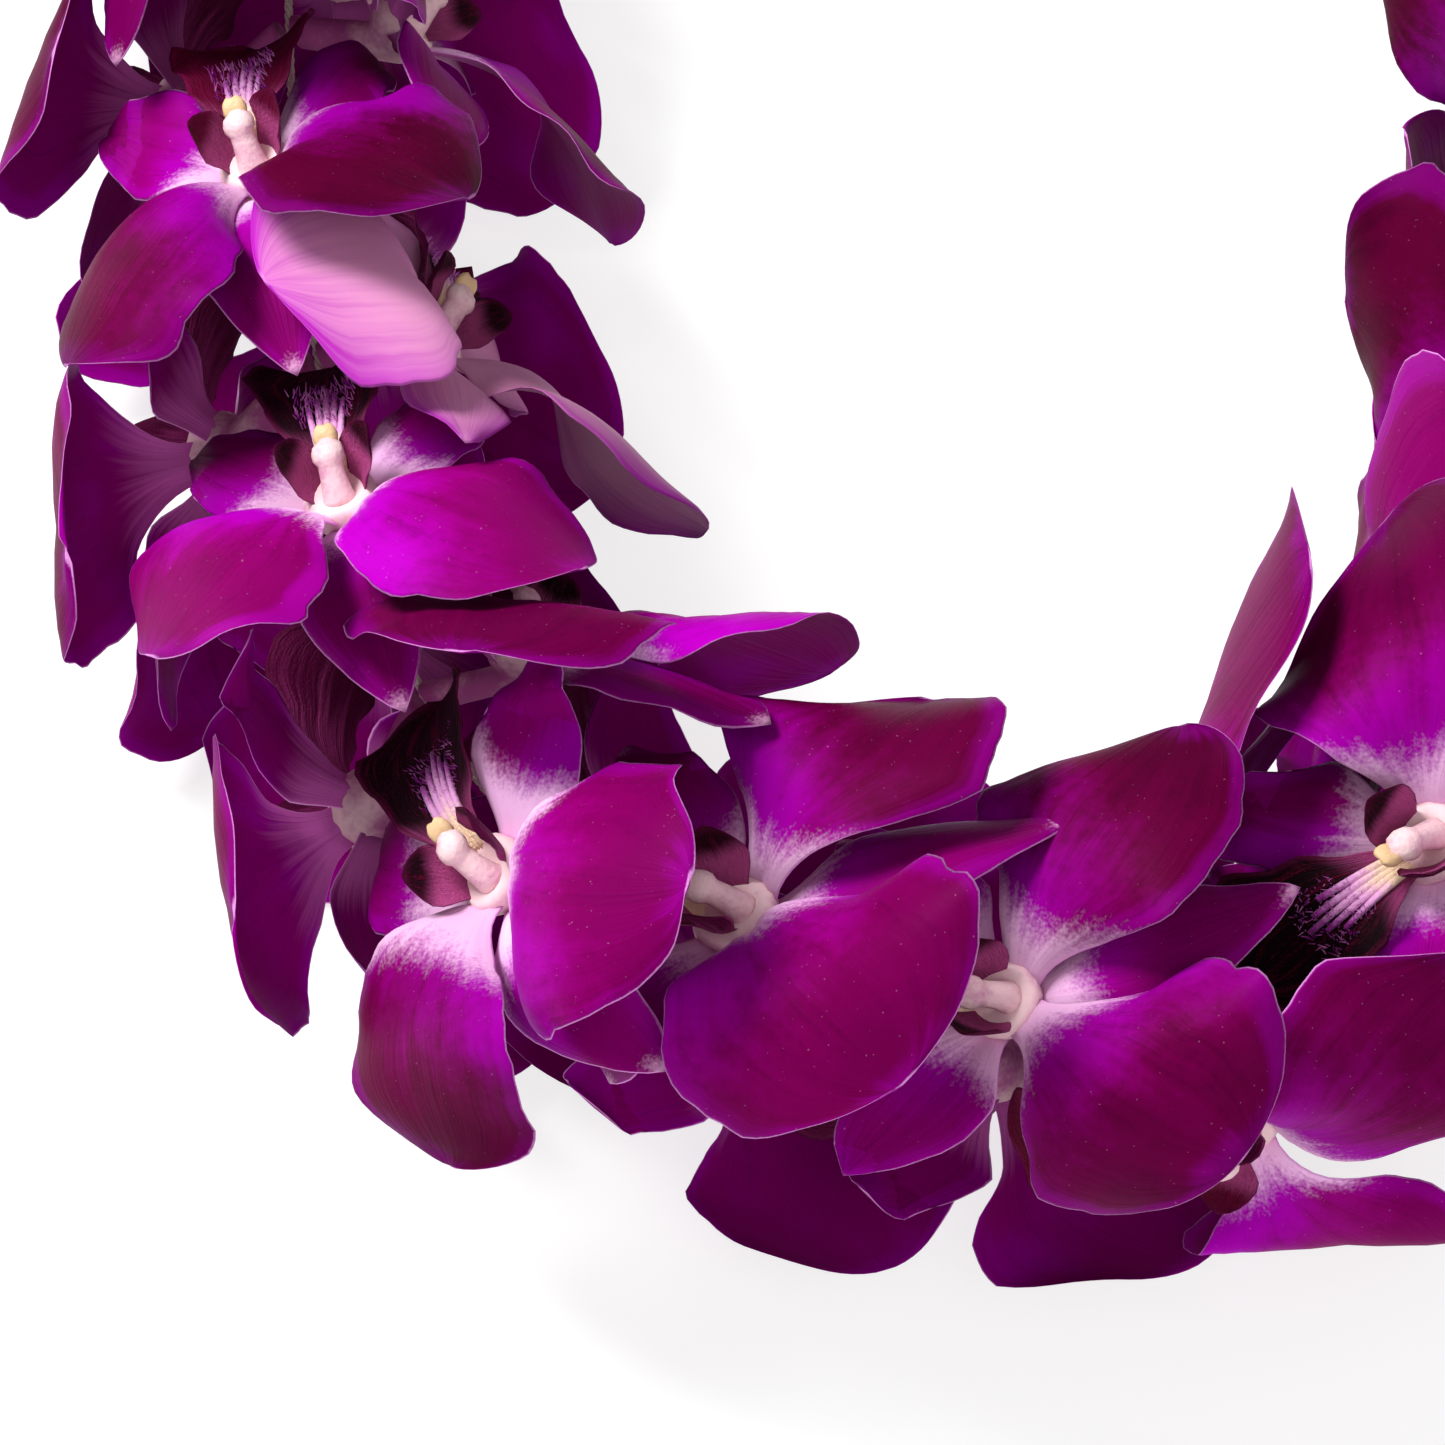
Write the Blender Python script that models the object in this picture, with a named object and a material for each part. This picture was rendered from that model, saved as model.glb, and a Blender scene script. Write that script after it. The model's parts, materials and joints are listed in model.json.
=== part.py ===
"""A double orchid lei: pairs of dendrobium blooms threaded back to back on one closed string.

The lei lies on a surface as a long loop. Every bloom faces out of the garland, its dorsal sepal
pointing along the string, and leans so that it covers the lip of the next bloom, as shingles do.
Units are metres, +Z is up, and the origin is the middle of the loop at the surface it lies on.
"""

import math
import random

import bpy
import numpy as np

MM = 0.001

# The loop that the string follows, seen from above: a long rounded oval, 36 inches (0.914 m) around.
LOOP_X = (0.0900, -0.0060)  # first and third harmonic of the half width
LOOP_Y = (0.1848, 0.0030)  # first and third harmonic of the half length
LOOP_MIDDLE = (0.0001, -0.0021)  # so that the blooms' box is centred on the origin
STRING_HEIGHT = 0.0271
STRING_RADIUS = 0.0006
STRING_SIDES = 4
STRING_STEPS = 72

# The pairs of blooms along the string.
PAIRS = 38
START = 0.0170  # the first pair's place along the string
FIRST_AZIMUTH = 37  # in degrees, and so is the step
AZIMUTH_STEP = 90
# The pairs that the photo shows: shift along the string in mm, then azimuth, spin, petal turn and lean
# in degrees, all of the upper bloom.
SEEN = {
    11: (0.0, -62, 18, 62, 22),
    12: (0.5, 17, -8, 43, 17),
    13: (-1.0, -55, 28, 48, 17),
    14: (-1.4, 9, 8, 45, 23),
    15: (-0.8, -38, 3, 51, 28),
    16: (-3.0, 40, 10, 43, 28),
    17: (-3.0, 1, -17, 51, 21),
    18: (3.3, 15, -5, 46, 20),
    19: (2.1, 87, 5, 53, 15),
    20: (5.4, 2, -1, 49, 20),
    21: (2.3, -75, -1, 55, 19),
}
# Pairs whose first draw crossed a neighbour, and which draw they take instead.
REDRAWN = {
    0: 93, 1: 46, 2: 106, 3: 41, 4: 21, 5: 7, 6: 57, 7: 5, 8: 74, 9: 74, 10: 7, 11: 147, 12: 103,
    13: 133, 14: 11, 15: 73, 16: 89, 17: 118, 18: 96, 19: 95, 20: 74, 21: 40, 22: 119, 23: 100,
    24: 2, 25: 19, 26: 22, 27: 39, 28: 36, 29: 7, 30: 14, 31: 70, 32: 27, 33: 37, 34: 4, 35: 34,
    36: 19, 37: 20,
}
PETAL_TURN = 52  # degrees from a bloom's dorsal sepal to each petal
FACE_RADIUS = 0.0205  # string to the plane of a bloom's face
LEAN = 20  # degrees that a bloom tips back along the string
OPEN_OUT = 0.10  # how much less than a cylinder a bloom's face wraps round the string
STAND_OFF = 0.20  # how far its sides stand off, for each metre sideways, and more nearer the string
BLOOM_SEED = 7

# How much one bloom differs from the next, as the largest change either way.
VARY_PLACE = 0.0016
VARY_AZIMUTH = math.radians(9)
VARY_SPIN = math.radians(14)
VARY_LEAN = math.radians(2.0)
VARY_SIZE = 0.05

# The body behind a bloom's face: its throat, the chin under it, and the neck that meets the string.
THROAT_DEPTH = 0.0044
THROAT_RADIUS = 0.0044
SEPAL_DEPTH = 0.0062  # where the sepals leave the body, under the petals and lip
CHIN_DEPTH = 0.0080
CHIN_RADIUS = 0.0036
NECK_RADIUS = 0.0027
NECK_INNER = 0.0026  # string to the inner end of the neck
NECK_BACK = -0.0030  # that end's place along the string, from the middle of the bloom
BEAD_RADIUS = 0.0046
BEAD_HOLE = 0.0016
BEAD_LENGTH = 0.0068
BEAD_SIDES = 4

SQUASH = 0.0095  # how much the side underneath is pressed flatter, at SQUASH_AT below the string
SQUASH_AT = 0.0360
TOUCHES = 0.0009  # corners lower than this lie on the surface
BLADE = 0.0011  # thickness of a blade along its middle

PETAL_COLOUR = (0.34, 0.004, 0.22)
STRING_COLOUR = (0.80, 0.77, 0.68)


def deg(a):
    return math.radians(a)


# The loop as tables of arc length, position, direction and curvature.
ANGLES = np.linspace(math.pi / 2, math.pi / 2 + 2 * math.pi, 2881)


def loop_tables():
    """Arc length, x, y, direction and curvature along the loop, counter-clockwise from its far end."""
    x = LOOP_MIDDLE[0] + LOOP_X[0] * np.cos(ANGLES) + LOOP_X[1] * np.cos(3 * ANGLES)
    y = LOOP_MIDDLE[1] + LOOP_Y[0] * np.sin(ANGLES) + LOOP_Y[1] * np.sin(3 * ANGLES)
    steps = np.hypot(np.diff(x), np.diff(y))
    length = np.concatenate([[0.0], np.cumsum(steps)])
    heading = np.unwrap(np.arctan2(np.gradient(y), np.gradient(x)))
    curvature = np.gradient(heading) / np.gradient(length)
    return length, x, y, heading, curvature


LENGTH, LOOP_PX, LOOP_PY, HEADING, CURVATURE = loop_tables()
AROUND = float(LENGTH[-1])


def along_loop(s):
    """Position, outward direction and curvature of the string at arc length s, for arrays of s."""
    turns = np.floor(np.asarray(s) / AROUND)
    s = np.asarray(s) - turns * AROUND
    heading = np.interp(s, LENGTH, HEADING)
    centre = np.stack(
        [np.interp(s, LENGTH, LOOP_PX), np.interp(s, LENGTH, LOOP_PY), np.full_like(s, STRING_HEIGHT)],
        axis=-1,
    )
    outward = np.stack([np.sin(heading), -np.cos(heading), np.zeros_like(s)], axis=-1)
    return centre, outward, np.interp(s, LENGTH, CURVATURE)


def around_string(s, azimuth, radius, sideways=0.0):
    """Points at that azimuth, from straight up towards the loop's outside, and radius from the string."""
    arrays = np.broadcast_arrays(s, azimuth, radius, sideways)
    s, azimuth, radius, sideways = (a[..., None] for a in arrays)
    centre, outward, _ = along_loop(s[..., 0])
    up = np.array([0.0, 0.0, 1.0])
    ray = np.cos(azimuth) * up + np.sin(azimuth) * outward
    across = np.cos(azimuth) * outward - np.sin(azimuth) * up
    return centre + radius * ray + sideways * across


def settle_on_surface(points):
    """Presses the side underneath flatter, and lays the lowest of it flat on the surface."""
    deep = np.maximum(STRING_HEIGHT - points[..., 2], 0.0)
    height = points[..., 2] + SQUASH * (deep / SQUASH_AT) ** 2
    points[..., 2] = np.where(height < TOUCHES, 0.0, height)
    return points


class Bloom:
    """Where one bloom sits on the string, and how it is turned, tilted and sized."""

    def __init__(self, pair, side):
        seed = BLOOM_SEED + 97 * REDRAWN.get(pair, 0)
        self.draw = random.Random(seed * 1000 + pair * 2 + side)
        by_rule = (0.0, FIRST_AZIMUTH + AZIMUTH_STEP * (pair - 12), 0, PETAL_TURN, LEAN)
        shift, azimuth, spin, self.petal_turn, lean = SEEN.get(pair, by_rule)
        lean = lean if side == 0 else LEAN
        loose = 0.0 if pair in SEEN and side == 0 else 1.0
        self.station = START + AROUND * pair / PAIRS + shift * MM
        self.s = self.station + self.vary(VARY_PLACE) * loose
        self.azimuth = deg(azimuth + 180 * side) + self.vary(VARY_AZIMUTH) * loose
        self.spin = deg(spin) * (1 - side) + self.vary(VARY_SPIN) * loose
        self.size = 1.0 + self.vary(VARY_SIZE)
        self.bend = float(along_loop(self.s)[2])
        # Inside a bend the blooms crowd together and stand up steeper.
        squeeze = 1.0 + self.bend * FACE_RADIUS * math.sin(self.azimuth)
        self.lean = math.atan(math.tan(deg(lean) + self.vary(VARY_LEAN)) / squeeze**0.7)

    def vary(self, most):
        return self.draw.uniform(-most, most)

    def place(self, x, y, h):
        """World points from the bloom's own: x across, y towards its dorsal sepal, h out of its face."""
        x, y, h = (np.asarray(a, float) * self.size for a in (x, y, h))
        c, d = math.cos(self.spin), math.sin(self.spin)
        x, y = c * x + d * y, c * y - d * x
        along = y * math.cos(self.lean) - h * math.sin(self.lean)
        aside = np.sqrt(x * x + 0.000025) - 0.005
        radius = FACE_RADIUS + y * math.sin(self.lean) + h * math.cos(self.lean)
        radius += STAND_OFF * aside * np.minimum((FACE_RADIUS / radius) ** 2, 3.0)
        azimuth = self.azimuth + x / (radius + OPEN_OUT * aside)
        stretch = 1.0 + self.bend * radius * np.sin(azimuth)
        return around_string(self.s + along / stretch, azimuth, radius)


class Blade:
    """One petal, sepal or lip: an outline on a spine that rises from the throat and bends back."""

    def __init__(self, turn, length, width, rise, bend, cup, claw, widest, tip, root=0.0034,
                 depth=(THROAT_DEPTH + SEPAL_DEPTH) / 2, sweep=0.0, twist=0.0, wave=0.0, phase=0.0,
                 waist=0.0):
        self.turn, self.length, self.width = turn, length, width
        self.rise, self.bend, self.cup = rise, bend, cup
        self.claw, self.widest, self.tip = claw, widest, tip
        self.root, self.depth = root, depth
        self.sweep, self.twist, self.wave, self.phase, self.waist = sweep, twist, wave, phase, waist
        self.u = np.linspace(0.0, 1.0, 65)
        angle = rise - bend * (1.0 - (1.0 - self.u) ** 2)
        step = length / (len(self.u) - 1)
        self.angle = angle
        middle = (angle[1:] + angle[:-1]) / 2
        self.out = np.concatenate([[0.0], np.cumsum(np.cos(middle) * step)])
        self.up = np.concatenate([[0.0], np.cumsum(np.sin(middle) * step)])

    def half_width(self, u):
        u = np.asarray(u, float)
        t = np.clip(u / self.widest, 0.0, 1.0)
        rising = self.claw + (1.0 - self.claw) * t * t * (3.0 - 2.0 * t)
        v = np.clip((u - self.widest) / (1.0 - self.widest), 0.0, 1.0)
        falling = (1.0 - v ** self.tip[0]) ** self.tip[1]
        waist = 1.0 - self.waist * np.exp(-(((u - 0.52) / 0.10) ** 2))
        return 0.5 * self.width * np.where(u < self.widest, rising, falling) * waist

    def points(self, u, v, offset=0.0):
        """The bloom's x, y, h of the blade at u along it and v across it, from -1 to 1."""
        u, v = np.broadcast_arrays(np.asarray(u, float), np.asarray(v, float))
        w = self.half_width(u)
        angle = np.interp(u, self.u, self.angle)
        across = w * v
        lift = self.cup * w * v * v + self.wave * w * np.abs(v) ** 3 * np.sin(
            2 * math.pi * (1.6 * u + self.phase + 0.31 * (v > 0)))
        roll = self.twist * u
        x = across * np.cos(roll) + self.sweep * self.length * u * u
        lift = lift * np.cos(roll) + across * np.sin(roll) + offset
        y = self.root + np.interp(u, self.u, self.out) - np.sin(angle) * lift
        h = -self.depth + np.interp(u, self.u, self.up) + np.cos(angle) * lift
        c, d = math.cos(self.turn), math.sin(self.turn)
        return x * c + y * d, y * c - x * d, h


def bloom_blades(bloom):
    """The five tepals and the lip of one bloom, each a little different, in their order around it."""
    vary, phase = bloom.vary, bloom.draw.random
    under = (SEPAL_DEPTH + CHIN_DEPTH) / 2

    def petal(side):
        return Blade(
            turn=side * deg(bloom.petal_turn + vary(5)), length=0.0400, width=0.0350,
            rise=deg(52 + vary(4)), bend=deg(54 + vary(9)), cup=-0.03 + vary(0.09), claw=0.15,
            widest=0.57, tip=(2.3, 0.56), sweep=side * vary(0.05), twist=vary(0.20), wave=0.07,
            phase=phase())

    def sepal(side):
        return Blade(
            turn=side * deg(124 + vary(4)), length=0.0295, width=0.0165, rise=deg(34 + vary(5)),
            bend=deg(50 + vary(12)), cup=0.05 + vary(0.10), claw=0.32, widest=0.38, tip=(1.6, 0.85),
            depth=under, sweep=side * (0.05 + vary(0.04)), twist=vary(0.25), wave=0.04, phase=phase())

    dorsal = Blade(
        turn=deg(vary(5)), length=0.0325, width=0.0155, rise=deg(33 + vary(4)), bend=deg(46 + vary(10)),
        cup=-0.05 + vary(0.08), claw=0.30, widest=0.42, tip=(1.7, 0.85), depth=under,
        twist=vary(0.20), wave=0.04, phase=phase())
    lip = Blade(
        turn=math.pi + deg(vary(5)), length=0.0225, width=0.0205, rise=deg(48), bend=deg(78 + vary(10)),
        cup=0.34 + vary(0.08), claw=0.22, widest=0.68, tip=(2.2, 0.62), wave=0.08, phase=phase(),
        waist=0.16)
    return [dorsal, petal(1), sepal(1), lip, sepal(-1), petal(-1)]


PETAL_ROWS = (0.30, 0.60, 0.86)
SEPAL_ROWS = (0.38, 0.72)
LIP_ROWS = (0.32, 0.64, 0.88)
ROWS = [SEPAL_ROWS, PETAL_ROWS, SEPAL_ROWS, LIP_ROWS, SEPAL_ROWS, PETAL_ROWS]
UNDER = [True, False, True, False, True, False]  # which of them are sepals, on the body's lower ring


def mesh_object(name, points, faces):
    mesh = bpy.data.meshes.new(name)
    mesh.from_pydata([tuple(p) for p in points], [], faces)
    mesh.update()
    obj = bpy.data.objects.new(name, mesh)
    bpy.context.scene.collection.objects.link(obj)
    return obj


def blade_points(bloom, blade, rows):
    """Rings of four points along a blade, sharp at both rims and thickest at its middle, and its apex."""
    u = np.append(np.repeat(rows, 4), 1.0)
    v = np.append(np.tile([-1.0, 0.0, 1.0, 0.0], len(rows)), 0.0)
    offset = np.append(np.tile([0.0, BLADE / 2, 0.0, -BLADE / 2], len(rows)), 0.0)
    points = settle_on_surface(bloom.place(*blade.points(u, v, offset)))
    # Where both faces of a blade would lie on the surface, the upper one keeps clear of the lower.
    top, under = points[1:-1:4], points[3::4]
    flat = (under[:, 2] < BLADE) & (top[:, 2] - under[:, 2] < BLADE * 0.6)
    top[flat, 2] = under[flat, 2] + BLADE * 0.6
    return points


def blade_faces(first, count, base):
    """Faces from a facet of the body to the first ring, between the rings, and to the apex."""
    faces = []
    rings = [[first + 4 * r + i for i in range(4)] for r in range(count)]
    for i in range(4):
        j = (i + 1) % 4
        faces += [(base[i], base[j], rings[0][j]), (base[i], rings[0][j], rings[0][i])]
    for a, b in zip(rings, rings[1:]):
        for i in range(4):
            j = (i + 1) % 4
            # The same split on both faces of the blade keeps it from crossing itself.
            if i % 2:
                faces += [(a[i], a[j], b[i]), (a[j], b[j], b[i])]
            else:
                faces += [(a[i], a[j], b[j]), (a[i], b[j], b[i])]
    apex = first + 4 * count
    faces += [(rings[-1][i], rings[-1][(i + 1) % 4], apex) for i in range(4)]
    return faces


def bloom_object(name, bloom):
    """One bloom as a closed mesh: a six-sided body with a blade on each side, the column, and the neck."""
    turn = np.radians(np.arange(6) * 60.0 - 30.0)
    x, y = np.sin(turn), np.cos(turn)
    rings = [
        (THROAT_RADIUS * x, THROAT_RADIUS * y, -THROAT_DEPTH),
        (THROAT_RADIUS * x, THROAT_RADIUS * y, -SEPAL_DEPTH),
        (CHIN_RADIUS * x, CHIN_RADIUS * y, -CHIN_DEPTH),
        (0.0022 * x, 0.0014 * y - 0.0038, 0.0012 * y + 0.0014),
    ]
    points = [bloom.place(*np.broadcast_arrays(*ring)) for ring in rings]
    points.append(around_string(
        bloom.station + NECK_BACK + NECK_RADIUS * y, bloom.azimuth, NECK_INNER, NECK_RADIUS * x))
    points = [settle_on_surface(ring) for ring in points]
    throat, middle, chin, column, neck = (range(6 * r, 6 * r + 6) for r in range(5))
    faces = [tuple(reversed(column)), tuple(neck)]
    for i, (blade, rows, under) in enumerate(zip(bloom_blades(bloom), ROWS, UNDER)):
        j = (i + 1) % 6
        upper = (throat[i], throat[j], middle[j], middle[i])
        lower = (middle[i], middle[j], chin[j], chin[i])
        faces += [(throat[i], column[i], column[j], throat[j]), (chin[i], chin[j], neck[j], neck[i])]
        faces.append(upper if under else lower)
        faces += blade_faces(sum(len(ring) for ring in points), len(rows), lower if under else upper)
        points.append(blade_points(bloom, blade, rows))
    return mesh_object(name, np.concatenate(points), faces)


def face_outwards(obj):
    """Turns a closed mesh's faces outwards."""
    mesh = obj.data
    volume = 0.0
    for polygon in mesh.polygons:
        corners = [mesh.vertices[i].co for i in polygon.vertices]
        for i in range(1, len(corners) - 1):
            volume += corners[0].dot(corners[i].cross(corners[i + 1]))
    if volume < 0:
        mesh.flip_normals()


def bead_object(name, pair):
    """The part of the two necks that meets around the string, with the hole that the string runs through."""
    first = Bloom(pair, 0)
    corners = np.linspace(0, 2 * math.pi, BEAD_SIDES, endpoint=False)
    turn = first.azimuth + corners + math.pi / BEAD_SIDES
    points = []
    for end in (-0.5, 0.5):
        for radius in (BEAD_RADIUS, BEAD_HOLE):
            points.append(around_string(first.station + NECK_BACK + end * BEAD_LENGTH, turn, radius))
    n = BEAD_SIDES
    faces = []
    for i in range(n):
        j = (i + 1) % n
        faces += [
            (i, j, 2 * n + j, 2 * n + i),
            (n + i, 3 * n + i, 3 * n + j, n + j),
            (i, n + i, n + j, j),
            (2 * n + i, 2 * n + j, 3 * n + j, 3 * n + i),
        ]
    return mesh_object(name, np.concatenate(points), faces)


def joined(name, base, others):
    """One solid of the base and the others, by a Boolean union on their collection."""
    group = bpy.data.collections.new(name + "_pieces")
    for obj in others:
        bpy.context.scene.collection.objects.unlink(obj)
        group.objects.link(obj)
    bpy.context.scene.collection.children.link(group)
    union = base.modifiers.new("join", "BOOLEAN")
    union.operation = "UNION"
    union.operand_type = "COLLECTION"
    union.collection = group
    union.solver = "MANIFOLD"
    bpy.context.view_layer.update()
    evaluated = base.evaluated_get(bpy.context.evaluated_depsgraph_get())
    mesh = bpy.data.meshes.new_from_object(evaluated)
    base.modifiers.clear()
    base.data = mesh
    for obj in others:
        bpy.data.objects.remove(obj)
    bpy.data.collections.remove(group)
    return base


def finish(name, roughness, colour):
    material = bpy.data.materials.new(name)
    material.use_nodes = True
    shader = material.node_tree.nodes["Principled BSDF"]
    shader.inputs["Base Color"].default_value = (*colour, 1.0)
    shader.inputs["Roughness"].default_value = roughness
    return material


def make_pair(pair, material):
    base = bead_object(f"bloom_pair_{pair + 1:02d}", pair)
    pieces = [bloom_object(f"bloom_{pair}_{side}", Bloom(pair, side)) for side in (0, 1)]
    for obj in [base] + pieces:
        face_outwards(obj)
    base = joined(base.name, base, pieces)
    base.data.materials.clear()
    base.data.materials.append(material)
    return base


def make_string(material):
    """The closed string, a thin tube along the whole loop."""
    s = np.repeat(np.arange(STRING_STEPS) * AROUND / STRING_STEPS, STRING_SIDES)
    turn = np.tile(np.linspace(0, 2 * math.pi, STRING_SIDES, endpoint=False), STRING_STEPS)
    points = around_string(s, turn, STRING_RADIUS)
    faces = []
    for step in range(STRING_STEPS):
        a, b = step * STRING_SIDES, (step + 1) % STRING_STEPS * STRING_SIDES
        for i in range(STRING_SIDES):
            j = (i + 1) % STRING_SIDES
            faces.append((a + i, a + j, b + j, b + i))
    string = mesh_object("string", points, faces)
    face_outwards(string)
    string.data.materials.append(material)
    return string


def main():
    for obj in list(bpy.data.objects):
        bpy.data.objects.remove(obj)
    petals = finish("petals", 0.5, PETAL_COLOUR)
    make_string(finish("string", 0.8, STRING_COLOUR))
    for pair in range(PAIRS):
        make_pair(pair, petals)


main()
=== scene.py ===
# %% [markdown]
# # A double orchid lei
# A lei of this kind is a string with dendrobium orchid blooms threaded on it in pairs, back to back,
# so that petals stand out all round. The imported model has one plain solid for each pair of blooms.
# This lesson gives each pair its real petals, lip and column, and then its colour and light.
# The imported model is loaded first, because everything else has to sit where it sits.

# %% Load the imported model
import json
import math
import random

import bpy
import numpy as np
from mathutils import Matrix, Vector

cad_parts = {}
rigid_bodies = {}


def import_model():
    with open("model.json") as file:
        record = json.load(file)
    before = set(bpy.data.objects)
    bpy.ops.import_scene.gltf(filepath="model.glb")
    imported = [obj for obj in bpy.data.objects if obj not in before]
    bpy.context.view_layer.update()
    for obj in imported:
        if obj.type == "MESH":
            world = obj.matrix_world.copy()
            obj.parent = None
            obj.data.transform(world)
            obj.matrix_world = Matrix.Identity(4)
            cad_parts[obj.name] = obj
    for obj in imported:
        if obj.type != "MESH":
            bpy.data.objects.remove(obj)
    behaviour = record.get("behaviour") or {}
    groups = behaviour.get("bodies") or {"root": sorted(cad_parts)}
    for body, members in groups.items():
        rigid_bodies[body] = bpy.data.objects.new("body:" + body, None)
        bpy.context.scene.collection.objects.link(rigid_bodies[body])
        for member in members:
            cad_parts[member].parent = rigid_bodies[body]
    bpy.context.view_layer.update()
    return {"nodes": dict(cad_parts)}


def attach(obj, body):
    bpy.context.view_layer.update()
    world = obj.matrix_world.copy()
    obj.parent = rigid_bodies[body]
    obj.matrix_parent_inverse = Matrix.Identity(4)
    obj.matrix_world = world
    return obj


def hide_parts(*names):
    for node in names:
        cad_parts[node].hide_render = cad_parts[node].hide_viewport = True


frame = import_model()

MM = 0.001
print("packed model:", len(frame["nodes"]), "nodes")

# %% [markdown]
# ## The camera
# The photograph looks down on the near left part of the lei, from about 60 degrees above the surface and
# from far enough that the blooms hardly grow towards the lens. A long lens at 0.8 m gives that view, and
# the frame is square.

# %% Camera
LOOK_AT = Vector((-0.0315, -0.1450, 0.0270))
ELEVATION = math.radians(60)
DISTANCE = 0.80
FIELD_OF_VIEW = math.radians(11.5)


def add_camera():
    camera = bpy.data.objects.new("camera", bpy.data.cameras.new("camera"))
    bpy.context.scene.collection.objects.link(camera)
    back = Vector((0.0, -math.cos(ELEVATION), math.sin(ELEVATION)))
    camera.location = LOOK_AT + DISTANCE * back
    camera.rotation_euler = (-back).to_track_quat("-Z", "Y").to_euler()
    camera.data.sensor_fit = "HORIZONTAL"
    camera.data.angle = FIELD_OF_VIEW
    camera.data.clip_start = 0.01
    bpy.context.scene.camera = camera


add_camera()
print("camera at", [round(c, 3) for c in bpy.context.scene.camera.location])

# %% [markdown]
# ## Node trees as sums
# Petal colour is a matter of masks: how far along the petal, how near its rim, how speckled. Such masks
# are short sums, so a small class lets them be written as sums. Each operator adds a Math node behind the
# scenes. Colours are mixed with a Mix node, because a Math node would turn them grey.

# %% Helpers for materials
class Value:
    """A socket that takes part in sums."""

    def __init__(self, graph, socket):
        self.graph, self.socket = graph, socket

    def maths(self, operation, *values):
        return self.graph.node("ShaderNodeMath", {"operation": operation}, dict(enumerate(values)))

    def __add__(self, other):
        return self.maths("ADD", self, other)

    def __sub__(self, other):
        return self.maths("SUBTRACT", self, other)

    def __rsub__(self, other):
        return self.maths("SUBTRACT", other, self)

    def __mul__(self, other):
        return self.maths("MULTIPLY", self, other)

    def __abs__(self):
        return self.maths("ABSOLUTE", self)

    __radd__, __rmul__ = __add__, __mul__

    def rises(self, low, high):
        """0 below low, 1 above high and a smooth rise between; with low above high it falls."""
        sockets = {"Value": self, "From Min": low, "From Max": high}
        return self.graph.node("ShaderNodeMapRange", {"interpolation_type": "SMOOTHSTEP"}, sockets)


class Graph:
    """A material's node tree, and the one way to add nodes to it."""

    def __init__(self, name, **constants):
        self.material = bpy.data.materials.new(name)
        self.material.use_nodes = True
        self.nodes, self.links = self.material.node_tree.nodes, self.material.node_tree.links
        self.shader = self.nodes["Principled BSDF"]
        for socket, value in constants.items():
            self.shader.inputs[socket.replace("_", " ")].default_value = value

    def put(self, socket, value):
        if isinstance(value, Value):
            self.links.new(value.socket, socket)
        else:
            socket.default_value = value

    def node(self, kind, settings, sockets, result=0):
        added = self.nodes.new(kind)
        for setting, value in settings.items():
            setattr(added, setting, value)
        for socket, value in sockets.items():
            self.put(added.inputs[socket], value)
        return Value(self, added.outputs[result])

    def read(self, attribute):
        return self.node("ShaderNodeAttribute", {"attribute_name": attribute}, {}, "Fac")

    def place(self):
        return self.node("ShaderNodeTexCoord", {}, {}, "Object")

    def vector(self, x, y, z):
        return self.node("ShaderNodeCombineXYZ", {}, {0: x, 1: y, 2: z})

    def noise(self, vector, scale, detail=2.0, roughness=0.5):
        sockets = {"Vector": vector, "Scale": scale, "Detail": detail, "Roughness": roughness}
        return self.node("ShaderNodeTexNoise", {}, sockets, "Fac")

    def mix(self, share, first, second, how="MIX"):
        settings = {"data_type": "RGBA", "blend_type": how}
        return self.node("ShaderNodeMix", settings, {0: share, 6: first, 7: second}, 2)

    def finish(self, colour, roughness, bump=None, depth=0.0002):
        self.put(self.shader.inputs["Base Color"], colour)
        self.put(self.shader.inputs["Roughness"], roughness)
        if bump is not None:
            sockets = {"Height": bump, "Distance": depth, "Strength": 1.0}
            self.put(self.shader.inputs["Normal"], self.node("ShaderNodeBump", {}, sockets))
        print("material:", self.material.name, len(self.nodes), "nodes")
        return self.material


def paint(red, green, blue):
    """A colour from its 0 to 255 values, as the shader wants it."""
    def linear(c):
        return c / 255 / 12.92 if c < 11 else ((c / 255 + 0.055) / 1.055) ** 2.4
    return linear(red), linear(green), linear(blue), 1.0


print("mid grey for the shader:", [round(c, 3) for c in paint(128, 128, 128)])

# %% [markdown]
# ## The loop of string
# The lei lies as a long rounded oval, about 35 inches round. Its line is a sine and a cosine with a little
# of their third harmonic, which flattens the long sides. The arc length is summed along it, so that a
# bloom can be placed by its distance along the string, as a lei maker would space them.

# %% The string's line
LOOP_X = (0.0900, -0.0060)
LOOP_Y = (0.1848, 0.0030)
LOOP_MIDDLE = (0.0001, -0.0021)
STRING_HEIGHT = 0.0271
LOOP_STEPS = 2880
ANGLES = np.linspace(math.pi / 2, math.pi / 2 + 2 * math.pi, LOOP_STEPS + 1)

LOOP_PX = LOOP_MIDDLE[0] + LOOP_X[0] * np.cos(ANGLES) + LOOP_X[1] * np.cos(3 * ANGLES)
LOOP_PY = LOOP_MIDDLE[1] + LOOP_Y[0] * np.sin(ANGLES) + LOOP_Y[1] * np.sin(3 * ANGLES)
LENGTH = np.concatenate([[0.0], np.cumsum(np.hypot(np.diff(LOOP_PX), np.diff(LOOP_PY)))])
HEADING = np.unwrap(np.arctan2(np.gradient(LOOP_PY), np.gradient(LOOP_PX)))
CURVATURE = np.gradient(HEADING) / np.gradient(LENGTH)
AROUND = float(LENGTH[-1])


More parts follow.
